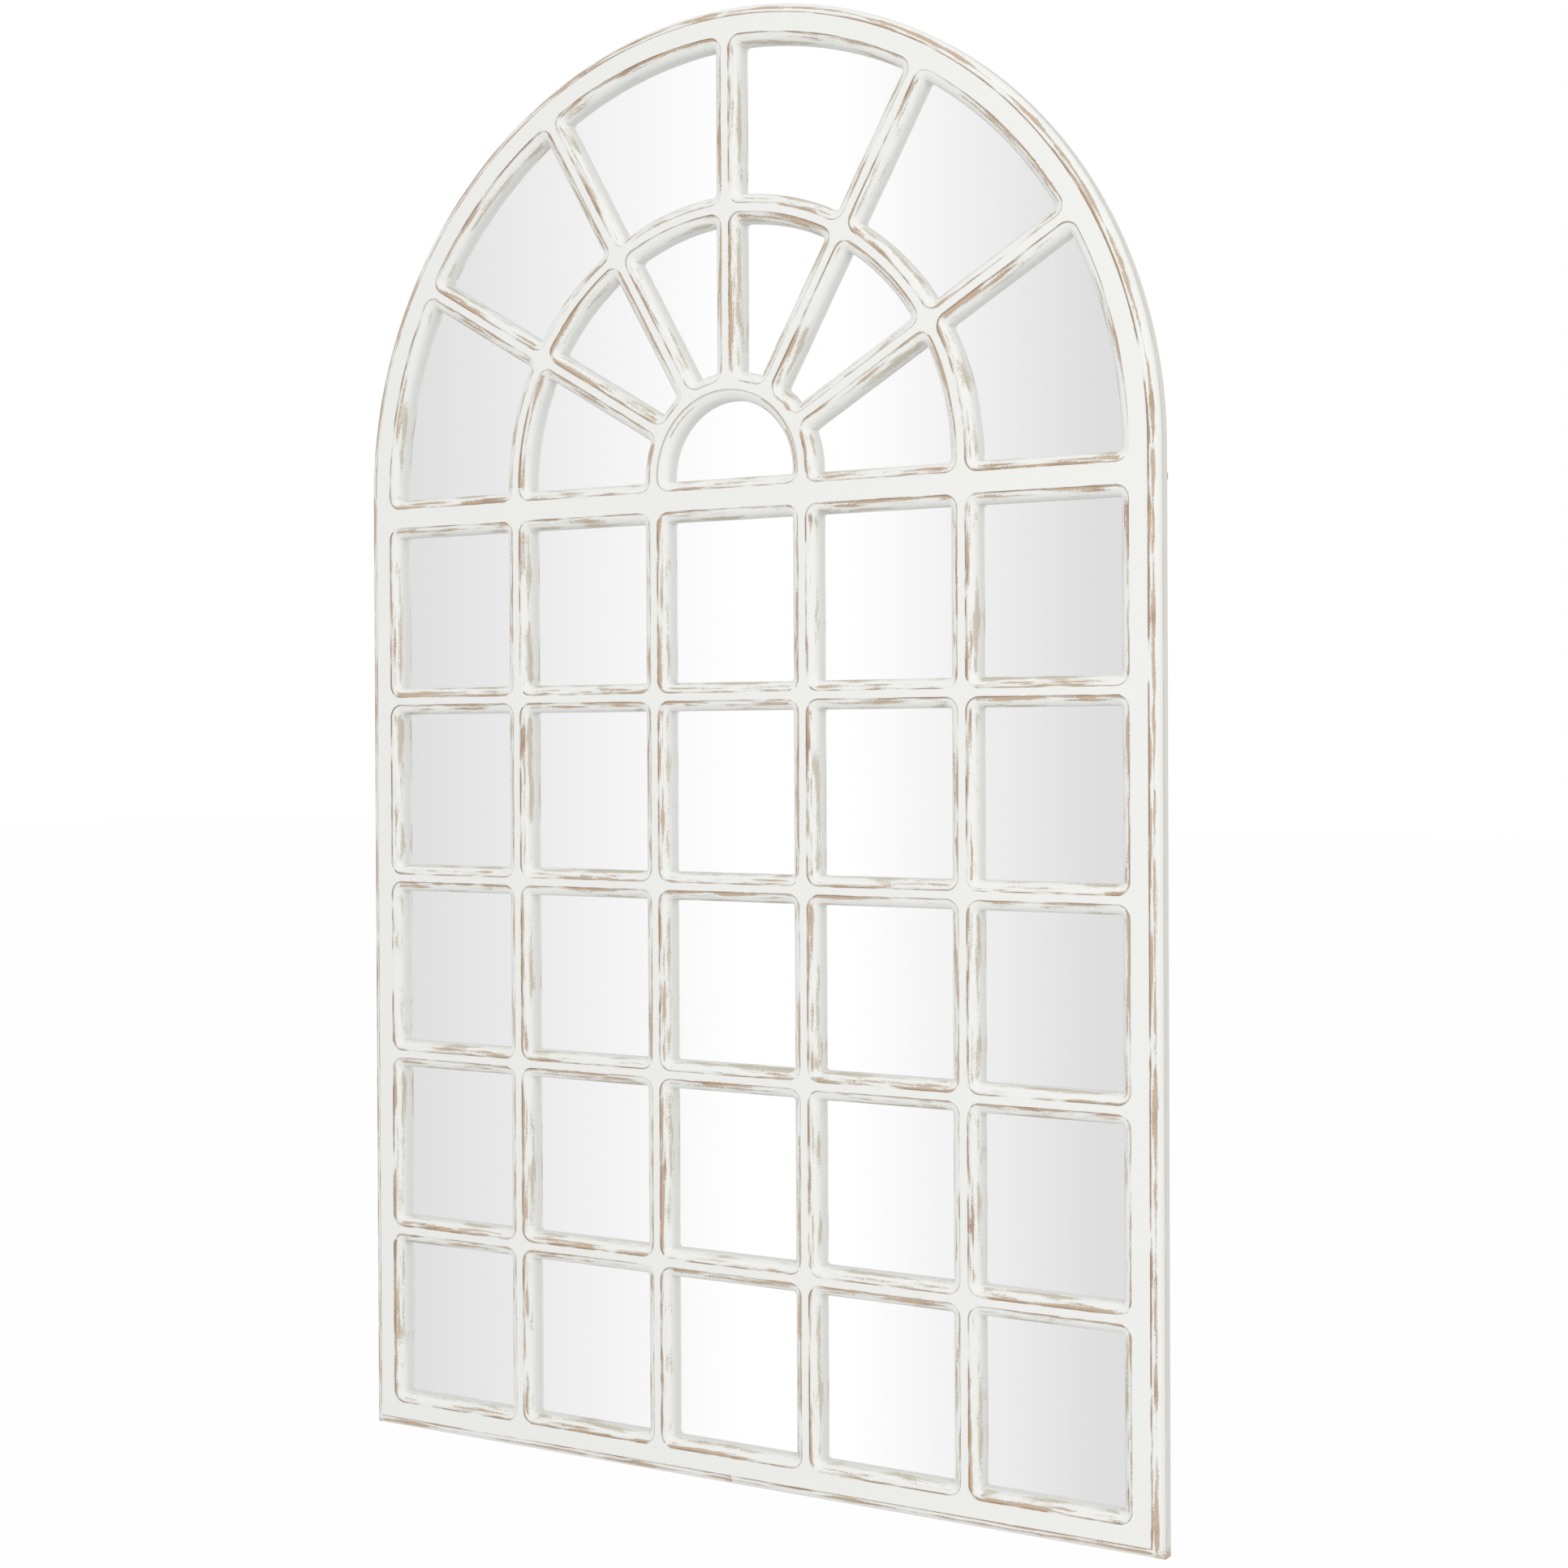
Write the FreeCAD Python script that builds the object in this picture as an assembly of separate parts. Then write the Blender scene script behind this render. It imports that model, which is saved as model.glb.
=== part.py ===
import FreeCAD, Part
import math
import os

os.makedirs("parts", exist_ok=True)
V = FreeCAD.Vector

# ---- driving dimensions (mm); X right, Z up, the mirror faces -Y ----
WIDTH = 813.0            # outside width; the arch is a half circle on it
SPRING = 886.5           # height of the arch centre above the bottom edge
FRONT_T = 13.0           # thickness of the moulded front layer
REAR_T = 5.5             # thickness of the rear rim strips
RIM = 34.1               # width of the stiles and the arch rail, to the edge of the glass
BOTTOM = 33.4            # height of the bottom rail
TRANSOM = 36.0           # height of the transom rail
BAR = 25.2               # width of a vertical bar or spoke at the glass
BAR_Z = 25.0             # height of a cross bar at the glass
COLS, ROWS, SPOKES = 5, 5, 5
PANE_R = 2.8             # corner radius of an opening at the glass
FAN_FOOT = 0.8           # straight side of a fan opening between its foot's corner and the arch centre
STEP = 1.0               # depth of the step beside the flat face
LEDGE = 0.6              # narrow ledge between the step and the bead
BEAD = 8.3               # radius of the routed bead
ARCH_PARTS = 5           # arch rail and middle ring are built in this many lengths
REAR_PARTS = 4           # the rear arch strip, joints staggered from the front ones
TENON_W, TENON_T, TENON_L = 9.0, 4.5, 6.0
TENON_ROOT = 2.0         # tenon's root inside its own piece
TENON_D = 7.5            # depth of tenon and dowel axes below the flat face
DOWEL_R, DOWEL_L = 2.5, 28.0
RAIL_DOWELS = 8.0        # between the two dowels of a rail joint
ARCH_DOWELS = 11.5       # between the two dowels of an arch rail joint
GLASS_T = 3.0
GLASS_LAP = 9.6          # glass behind the front layer beyond the opening
GLASS_GAP = 0.5          # between the glass edge and the rear strips
SCREW_R = 1.4            # rear strip screws
CSK_R = 2.8
SCREW_BITE = 8.5         # a strip screw's depth in the front layer
CLIP = (10.0, 20.0, 1.2)  # width, length, thickness of a retaining clip
CLIP_HOLE = 6.0          # clip's screw hole from its outer end
CLIP_LAP = 7.0           # clip over the backing board
PAN_R, PAN_H, PAN_L = 2.8, 1.7, 10.0
HANG_DROP = 20.5         # ring pivots below the arch centre
STRAP_W, STRAP_T, STRAP_L = 12.0, 1.2, 30.0
STRAP_HOLES = (7.5, 24.0)  # holes below the pivot
WIRE_R = 1.5
WIRE_FIT = 0.05          # radial running fit of the ring in its loop
RING_R, RING_BEND = 10.0, 3.0
PAD_R = 7.0
PAD_Z = 12.0
SCREW_END = 60.0         # end of a rear strip to its first screw
SCREW_PITCH = 170.0      # between the screws up the sides
SCREW_CLEAR = 20.0       # the side screws stop this far below the hanger strap
SCREW_PITCH_FOOT = 200.0
SCREW_TURN = 10.5        # degrees from the middle of a rear arch strip to each of its screws
CLIP_LOW, CLIP_MID = 150.0, 480.0
CLIP_DROP = 56.0         # highest side clip below the hanger strap
CLIP_PITCH_FOOT = 400.0

# ---- derived ----
R_OUT = WIDTH / 2
BEAD_W = LEDGE + BEAD
DEPTH = FRONT_T + REAR_T
Y_BACK = (DEPTH - STEP - BEAD) / 2       # origin at the middle of the flat under-side
Y_FRONT = Y_BACK - DEPTH
Y_SEAM = Y_FRONT + FRONT_T
Y_PIN = Y_FRONT + TENON_D
EDGE = R_OUT - RIM                       # outermost opening edge
SILL = SPRING - (PANE_R + FAN_FOOT)      # foot of the fan's openings
PANE_W = (2 * EDGE - (COLS - 1) * BAR) / COLS
PANE_H = (SILL - TRANSOM - BOTTOM - (ROWS - 1) * BAR_Z) / ROWS
PITCH_X = PANE_W + BAR
PITCH_Z = PANE_H + BAR_Z
TOP = BOTTOM + (ROWS - 1) * PITCH_Z + PANE_H
HALF = PANE_W / 2
RINGS = (HALF, PITCH_X - HALF, PITCH_X + HALF, 2 * PITCH_X - HALF, EDGE)
PAD_T = 2 * (WIRE_R + WIRE_FIT + STRAP_T)
CENTRE = V(0, 0, SPRING)
GLASS_HALF = EDGE + GLASS_LAP
GLASS_Z = BOTTOM - GLASS_LAP
RIM_IN = GLASS_HALF + GLASS_GAP
RIM_MID = (RIM_IN + R_OUT) / 2
SPOKE_STEP = 180.0 / (SPOKES + 1)
REAR_STEP = 180.0 / REAR_PARTS
SCREW_L = REAR_T + SCREW_BITE
HANG_Z = SPRING - HANG_DROP
HANG_LOW = HANG_Z - STRAP_L
RING_BAR = RING_R - RING_BEND


def block(x0, x1, y0, y1, z0, z1):
    """Axis-aligned box between two corners."""
    return Part.makeBox(x1 - x0, y1 - y0, z1 - z0, V(x0, y0, z0))


def rod(radius, length, start, direction):
    """Cylinder from a start point along a direction."""
    return Part.makeCylinder(radius, length, start, direction)


def disc(radius, y0, y1):
    """Disc about the arch centre between two depths."""
    return rod(radius, y1 - y0, V(0, y0, SPRING), V(0, 1, 0))


def ring(r0, r1, y0, y1):
    """Flat ring about the arch centre."""
    return disc(r1, y0, y1).cut(disc(r0, y0 - 1, y1 + 1))


def turned(shape, degrees):
    """Copy turned about the arch centre, anticlockwise as seen from the front."""
    out = shape.copy()
    out.rotate(CENTRE, V(0, -1, 0), degrees)
    return out


def mirrored(shape):
    """Copy mirrored left to right."""
    return shape.mirror(V(0, 0, 0), V(1, 0, 0))


def polar(radius, degrees, y=0.0):
    """Point at a radius and angle about the arch centre."""
    a = math.radians(degrees)
    return V(radius * math.cos(a), y, SPRING + radius * math.sin(a))


def wedge(a0, a1, y0, y1):
    """Sector about the arch centre, wider than the frame."""
    far = 2 * WIDTH
    mid = (a0 + a1) / 2
    pts = [V(0, y0, SPRING)] + [polar(far, a, y0) for a in (a0, mid, a1)]
    return Part.Face(Part.makePolygon(pts + [pts[0]])).extrude(V(0, y1 - y0, 0))


def outline(half, z0, y0, y1, inset=0.0):
    """Arched plate: straight sides, square foot and a half-round head."""
    h = half - inset
    body = block(-h, h, y0, y1, z0 + inset, SPRING)
    return body.fuse(disc(h, y0, y1).common(block(-h, h, y0, y1, SPRING, SPRING + WIDTH))).removeSplitter()


def upright(shape):
    """Sharp edges of a prism that run front to back; at the arch centre's height they are smooth."""
    return [e for e in shape.Edges
            if abs(e.tangentAt(e.FirstParameter).y) > 0.99 and abs(e.BoundBox.ZMin - SPRING) > 1e-3]


def flat_face(shape, y):
    """Face of a shape that lies in the plane at depth y."""
    return [f for f in shape.Faces if abs(f.BoundBox.YMin - y) < 1e-3 and abs(f.BoundBox.YMax - y) < 1e-3][0]


def router_cut(sharp):
    """Solid the router takes away at one opening, from its sharp-cornered prism.

    The prism is rounded in its corners and cut through a plate. The plate's
    front arris gets the bead and, outside it, the ledge and the step.
    """
    hole = sharp.makeFillet(PANE_R, upright(sharp))
    rim = flat_face(hole, Y_FRONT).OuterWire
    plate = Part.Face(rim.makeOffset2D(BEAD_W + PANE_R))
    plate.translate(V(0, STEP, 0))
    plate = plate.extrude(V(0, FRONT_T - STEP, 0))
    routed = plate.cut(hole)
    top = flat_face(routed, Y_FRONT + STEP)
    arris = [w for w in top.Wires if not w.isSame(top.OuterWire)][0].Edges
    routed = routed.makeFillet(BEAD, arris)
    step = Part.Face(rim.makeOffset2D(BEAD_W)).extrude(V(0, STEP, 0))
    return plate.cut(routed).fuse(step).removeSplitter()


def half_plane(degrees, offset):
    """Everything above a line through the arch centre, moved sideways by an offset."""
    far = 2 * WIDTH
    return turned(block(-far, far, Y_FRONT, Y_SEAM, SPRING + offset, SPRING + far), degrees)


def fan_pane(r0, r1, end):
    """Sharp prism of a fan opening: the end one beside the transom, or one between spokes."""
    far = 2 * WIDTH
    sector = ring(r0, r1, Y_FRONT, Y_SEAM).common(block(0, far, Y_FRONT, Y_SEAM, SPRING, far))
    if end:
        foot = block(r0, r1, Y_FRONT, Y_SEAM, SILL, SPRING)
        return sector.fuse(foot).removeSplitter().cut(half_plane(SPOKE_STEP, -BAR / 2))
    return sector.common(half_plane(0, BAR / 2)).cut(half_plane(SPOKE_STEP, -BAR / 2))


def hub_pane():
    """Sharp prism of the half-round opening at the middle of the fan."""
    r = RINGS[0]
    head = disc(r, Y_FRONT, Y_SEAM).common(block(-r, r, Y_FRONT, Y_SEAM, SPRING, SPRING + r))
    return head.fuse(block(-r, r, Y_FRONT, Y_SEAM, SILL, SPRING)).removeSplitter()


def router_cuts():
    """Router waste of every opening."""
    first = router_cut(block(-HALF, HALF, Y_FRONT, Y_SEAM, BOTTOM, BOTTOM + PANE_H))
    cuts = [router_cut(hub_pane())]
    for col in range(COLS):
        for row in range(ROWS):
            cuts.append(first.translated(V((col - (COLS - 1) / 2) * PITCH_X, 0, row * PITCH_Z)))
    for r0, r1 in (RINGS[1:3], RINGS[3:5]):
        end = router_cut(fan_pane(r0, r1, True))
        mid = router_cut(fan_pane(r0, r1, False))
        cuts += [end, mirrored(end)]
        cuts += [turned(mid, k * SPOKE_STEP) for k in range(1, SPOKES)]
    return cuts


def routed_blank():
    """Arched front blank with the bead, ledge and step round its outside."""
    body = outline(R_OUT, 0, Y_FRONT + STEP, Y_SEAM)
    body = body.makeFillet(BEAD, flat_face(body, Y_FRONT + STEP).Edges)
    return body.fuse(outline(R_OUT, 0, Y_FRONT, Y_FRONT + STEP, BEAD_W)).removeSplitter()


def tenon(r0, r1, degrees):
    """Stub tenon on a line through the arch centre, between two radii."""
    box = block(r0, r1, Y_PIN - TENON_T / 2, Y_PIN + TENON_T / 2, SPRING - TENON_W / 2, SPRING + TENON_W / 2)
    return turned(box, degrees)


def tenon_x(x0, x1, z):
    """Stub tenon running across."""
    return block(x0, x1, Y_PIN - TENON_T / 2, Y_PIN + TENON_T / 2, z - TENON_W / 2, z + TENON_W / 2)


def tenon_z(x, z0, z1):
    """Stub tenon running up."""
    return block(x - TENON_W / 2, x + TENON_W / 2, Y_PIN - TENON_T / 2, Y_PIN + TENON_T / 2, z0, z1)


def front_regions():
    """Each front piece's block before routing, and the tenons each one carries."""
    layer = (Y_FRONT, Y_SEAM)
    grow, keep = TENON_L, TENON_ROOT
    solid, tenons = {}, {}
    solid["left_stile"] = block(-R_OUT, -EDGE, *layer, 0, SPRING)
    solid["right_stile"] = block(EDGE, R_OUT, *layer, 0, SPRING)
    solid["bottom_rail"] = block(-EDGE, EDGE, *layer, 0, BOTTOM)
    solid["transom_rail"] = block(-EDGE, EDGE, *layer, TOP, SILL)
    turn = 180.0 / ARCH_PARTS
    for k in range(ARCH_PARTS):
        sector = wedge(k * turn, (k + 1) * turn, *layer)
        solid["arch_rail_%d" % (k + 1)] = ring(EDGE, R_OUT, *layer).common(sector)
        segment = ring(RINGS[2], RINGS[3], *layer).common(sector)
        side = {0: 1, ARCH_PARTS - 1: -1}.get(k)
        if side:
            x0, x1 = sorted((side * RINGS[2], side * RINGS[3]))
            segment = segment.fuse(block(x0, x1, *layer, SILL, SPRING)).removeSplitter()
            tenons["ring_segment_%d" % (k + 1)] = [tenon_z((x0 + x1) / 2, SILL - grow, SILL + keep)]
        solid["ring_segment_%d" % (k + 1)] = segment
    hub = ring(RINGS[0], RINGS[1], *layer).common(block(-R_OUT, R_OUT, *layer, SPRING, SPRING + WIDTH))
    feet = []
    for side in (1, -1):
        x0, x1 = sorted((side * RINGS[0], side * RINGS[1]))
        hub = hub.fuse(block(x0, x1, *layer, SILL, SPRING))
        feet.append(tenon_z((x0 + x1) / 2, SILL - grow, SILL + keep))
    solid["hub_ring"] = hub.removeSplitter()
    tenons["hub_ring"] = feet
    for k in range(SPOKES):
        a = (k + 1) * SPOKE_STEP
        strip = turned(block(0, R_OUT, *layer, SPRING - BAR / 2, SPRING + BAR / 2), a)
        for name, r0, r1 in (("inner_spoke_%d", *RINGS[1:3]), ("outer_spoke_%d", *RINGS[3:5])):
            solid[name % (k + 1)] = strip.common(ring(r0, r1, *layer))
            tenons[name % (k + 1)] = [tenon(r0 - grow, r0 + keep, a), tenon(r1 - keep, r1 + grow, a)]
    for k in range(COLS - 1):
        x = (k - (COLS - 2) / 2) * PITCH_X
        name = "muntin_%d" % (k + 1)
        solid[name] = block(x - BAR / 2, x + BAR / 2, *layer, BOTTOM, TOP)
        tenons[name] = [tenon_z(x, BOTTOM - grow, BOTTOM + keep), tenon_z(x, TOP - keep, TOP + grow)]
    for row in range(ROWS - 1):
        z = BOTTOM + (row + 1) * PITCH_Z
        z_bar = z - BAR_Z / 2
        name = "cross_bars_%d" % (row + 1)
        bars, pegs = [], []
        for col in range(COLS):
            x = (col - (COLS - 1) / 2) * PITCH_X
            x0, x1 = x - HALF, x + HALF
            bars.append(block(x0, x1, *layer, z - BAR_Z, z))
            pegs += [tenon_x(x0 - grow, x0 + keep, z_bar), tenon_x(x1 - keep, x1 + grow, z_bar)]
        solid[name] = Part.makeCompound(bars)
        tenons[name] = pegs
    return solid, tenons


def touching(a, b):
    """Whether two shapes' boxes meet."""
    return a.BoundBox.intersect(b.BoundBox)


def front_pieces():
    """Front layer: the blank cut into its boards, with tenons, dowel holes and routing."""
    solid, tenons = front_regions()
    blank, cuts = routed_blank(), router_cuts()
    pieces = {}
    for name, region in solid.items():
        for owner, pegs in tenons.items():
            for peg in pegs:
                if owner == name:
                    region = region.fuse(peg)
                elif touching(region, peg):
                    region = region.cut(peg)
        piece = blank.common(region)
        for cut in cuts:
            if touching(piece, cut):
                piece = piece.cut(cut)
        pieces[name] = piece.removeSplitter()
    return pieces


def dowels():
    """Dowels of the rails, the arch rail and the middle ring."""
    frame, arch, ring_pins = [], [], []
    half = DOWEL_L / 2
    for side in (1, -1):
        for low, high in ((0, BOTTOM), (TOP, SILL)):
            inner = (high + low) / 2
            for z in (inner - RAIL_DOWELS / 2, inner + RAIL_DOWELS / 2):
                frame.append(rod(DOWEL_R, DOWEL_L, V(side * EDGE - half, Y_PIN, z), V(1, 0, 0)))
    turn = 180.0 / ARCH_PARTS
    for k in range(ARCH_PARTS + 1):
        along = polar(1, k * turn + 90) - CENTRE
        for radius in (RIM_MID - ARCH_DOWELS, RIM_MID):
            at = polar(radius, k * turn, Y_PIN)
            arch.append(rod(DOWEL_R, DOWEL_L, at - along * half, along))
        if 0 < k < ARCH_PARTS:
            at = polar((RINGS[2] + RINGS[3]) / 2, k * turn, Y_PIN)
            ring_pins.append(rod(DOWEL_R, DOWEL_L, at - along * half, along))
    return {"frame_dowels": frame, "arch_dowels": arch, "ring_dowels": ring_pins}


def rear_strips():
    """Rear layer: strips round the back that make the rebate for the glass."""
    layer = (Y_SEAM, Y_BACK)
    foot = GLASS_Z - GLASS_GAP
    strips = {"rear_strip_left": block(-R_OUT, -RIM_IN, *layer, 0, SPRING),
              "rear_strip_right": block(RIM_IN, R_OUT, *layer, 0, SPRING),
              "rear_strip_bottom": block(-RIM_IN, RIM_IN, *layer, 0, foot)}
    for k in range(REAR_PARTS):
        sector = wedge(k * REAR_STEP, (k + 1) * REAR_STEP, *layer)
        strips["rear_arch_strip_%d" % (k + 1)] = ring(RIM_IN, R_OUT, *layer).common(sector)
    return strips


def arch_middles():
    """Angle of the middle of each rear arch strip."""
    return [(k + 0.5) * REAR_STEP for k in range(REAR_PARTS)]


def spread(pitch):
    """Places either side of the middle along the foot, a pitch apart."""
    count = math.floor((RIM_IN - SCREW_END) / pitch + 0.5)
    right = [(k + 0.5) * pitch for k in range(count)]
    return [-x for x in reversed(right)] + right


def strip_screws():
    """Countersunk screws that hold the rear strips to the front layer."""
    rise = HANG_LOW - SCREW_CLEAR - SCREW_END
    heights = [SCREW_END + k * SCREW_PITCH for k in range(math.floor(rise / SCREW_PITCH) + 1)]
    spots = [V(side * RIM_MID, Y_BACK, z) for side in (1, -1) for z in heights]
    spots += [V(x, Y_BACK, (GLASS_Z - GLASS_GAP) / 2) for x in spread(SCREW_PITCH_FOOT)]
    spots += [polar(RIM_MID, a + turn, Y_BACK) for a in arch_middles() for turn in (-SCREW_TURN, SCREW_TURN)]
    head = CSK_R - SCREW_R
    out = []
    for at in spots:
        cone = Part.makeCone(CSK_R, SCREW_R, head, at, V(0, -1, 0))
        out.append(cone.fuse(rod(SCREW_R, SCREW_L, at, V(0, -1, 0))).removeSplitter())
    return out


def pan_screw(at):
    """Pan-head screw driven forward from the plane its head sits on."""
    head = rod(PAN_R, PAN_H, at, V(0, 1, 0))
    return head.fuse(rod(SCREW_R, PAN_L, at, V(0, -1, 0))).removeSplitter()


def clips():
    """Flat clips screwed to the rear strips, lapped over the backing board, and their screws."""
    width, length, thick = CLIP
    r0 = GLASS_HALF - CLIP_LAP
    hole_r = r0 + length - CLIP_HOLE
    hole = V(0, Y_BACK, 0)
    plate = block(r0, r0 + length, Y_BACK, Y_BACK + thick, -width / 2, width / 2)
    plate = plate.cut(rod(SCREW_R, thick, hole + V(hole_r, 0, 0), V(0, 1, 0)))
    plates, heads = [], []
    for a in arch_middles():
        plates.append(turned(plate.translated(CENTRE), a))
        heads.append(polar(hole_r, a, Y_BACK + thick))
    for z in (CLIP_LOW, CLIP_MID, HANG_LOW - CLIP_DROP):
        for side, angle in ((1, 0), (-1, 180)):
            plates.append(turned(plate.translated(CENTRE), angle).translated(V(0, 0, z - SPRING)))
            heads.append(V(side * hole_r, Y_BACK + thick, z))
    for x in spread(CLIP_PITCH_FOOT):
        low = GLASS_Z + CLIP_LAP - length
        tab = block(x - width / 2, x + width / 2, Y_BACK, Y_BACK + thick, low, low + length)
        z = low + CLIP_HOLE
        plates.append(tab.cut(rod(SCREW_R, thick, V(x, Y_BACK, z), V(0, 1, 0))))
        heads.append(V(x, Y_BACK + thick, z))
    return plates, [pan_screw(at) for at in heads]


def hangers():
    """Strap hangers with their D rings hanging down, and the screws through the straps."""
    loop_r = WIRE_R + WIRE_FIT + STRAP_T
    y = Y_BACK + loop_r
    half = STRAP_W / 2
    strap = block(-half, half, Y_BACK, Y_BACK + STRAP_T, HANG_LOW, HANG_Z)
    strap = strap.fuse(rod(loop_r, STRAP_W, V(-half, y, HANG_Z), V(1, 0, 0)))
    strap = strap.cut(rod(WIRE_R + WIRE_FIT, STRAP_W, V(-half, y, HANG_Z), V(1, 0, 0))).removeSplitter()
    for drop in STRAP_HOLES:
        strap = strap.cut(rod(SCREW_R, STRAP_T, V(0, Y_BACK, HANG_Z - drop), V(0, 1, 0)))
    turn_y = V(0, 1, 0)

    def bend(start, direction, centre, angle):
        """Round wire turned about a point."""
        profile = Part.Face(Part.Wire(Part.makeCircle(WIRE_R, start, direction)))
        return profile.revolve(centre, turn_y, angle)

    low = HANG_Z - RING_BEND
    wire = rod(WIRE_R, 2 * RING_BAR, V(-RING_BAR, y, HANG_Z), V(1, 0, 0))
    corner = bend(V(RING_BAR, y, HANG_Z), V(1, 0, 0), V(RING_BAR, y, low), 90)
    bow = bend(V(RING_R, y, low), V(0, 0, 1), V(0, y, low), 180)
    d_ring = wire.fuse([corner, mirrored(corner), bow]).removeSplitter()
    return strap, d_ring


def drilled(shape, tools):
    """Shape with the holes of the fasteners that reach it."""
    near = [t for t in tools if touching(shape, t)]
    return shape.cut(near) if near else shape


def main():
    """Build every node and write one STEP file each."""
    pieces = front_pieces()
    pegs = dowels()
    strips = rear_strips()
    screws = strip_screws()
    plates, clip_screws = clips()
    strap, d_ring = hangers()
    hung = [pan_screw(V(side * RIM_MID, Y_BACK + STRAP_T, HANG_Z - drop))
            for side in (-1, 1) for drop in STRAP_HOLES]
    driven = screws + clip_screws + hung
    nodes = {}
    for name, shape in pieces.items():
        nodes[name] = drilled(shape, driven + [p for group in pegs.values() for p in group])
    for name, shape in strips.items():
        nodes[name] = drilled(shape, driven)
    nodes["mirror_glass"] = outline(GLASS_HALF, GLASS_Z, Y_SEAM, Y_SEAM + GLASS_T)
    nodes["backing_board"] = outline(GLASS_HALF, GLASS_Z, Y_SEAM + GLASS_T, Y_BACK)
    for side, tag in ((-1, "left"), (1, "right")):
        nodes["hanger_strap_" + tag] = strap.translated(V(side * RIM_MID, 0, 0))
        nodes["hanger_ring_" + tag] = d_ring.translated(V(side * RIM_MID, 0, 0))
    pads = [rod(PAD_R, PAD_T, V(side * RIM_MID, Y_BACK, PAD_Z), V(0, 1, 0)) for side in (-1, 1)]
    groups = {"strip_screws": screws, "retaining_clips": plates, "clip_screws": clip_screws,
              "hanger_screws": hung, "wall_pads": pads, **pegs}
    for name, solids in groups.items():
        nodes[name] = Part.makeCompound(solids)
    for name, shape in nodes.items():
        shape.exportStep("parts/%s.step" % name)
        print(name, len(shape.Solids), shape.isValid(), round(shape.Volume))


main()
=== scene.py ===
"""Arched window mirror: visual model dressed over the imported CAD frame."""

from __future__ import annotations

import logging
import math
from dataclasses import dataclass, field
from enum import Enum

import bmesh
import bpy
from mathutils import Matrix, Vector

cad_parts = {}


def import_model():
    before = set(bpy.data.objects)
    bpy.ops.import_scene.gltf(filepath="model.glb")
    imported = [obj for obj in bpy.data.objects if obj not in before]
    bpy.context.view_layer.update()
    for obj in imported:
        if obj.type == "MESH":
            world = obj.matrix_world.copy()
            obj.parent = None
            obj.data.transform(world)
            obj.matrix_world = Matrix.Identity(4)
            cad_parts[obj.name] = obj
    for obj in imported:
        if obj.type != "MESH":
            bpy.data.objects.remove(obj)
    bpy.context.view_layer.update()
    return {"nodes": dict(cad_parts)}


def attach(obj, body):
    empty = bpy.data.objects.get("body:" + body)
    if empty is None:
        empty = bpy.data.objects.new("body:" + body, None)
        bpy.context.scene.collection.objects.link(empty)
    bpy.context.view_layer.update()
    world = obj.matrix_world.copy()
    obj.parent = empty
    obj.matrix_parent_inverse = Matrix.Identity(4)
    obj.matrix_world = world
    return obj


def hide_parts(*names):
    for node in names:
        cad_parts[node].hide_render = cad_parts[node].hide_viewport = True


LOG = logging.getLogger("arched_mirror")
Number = float | int
MM = 1000.0
HALF = 0.5
WHITE = (1.0, 1.0, 1.0, 1.0)


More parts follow.
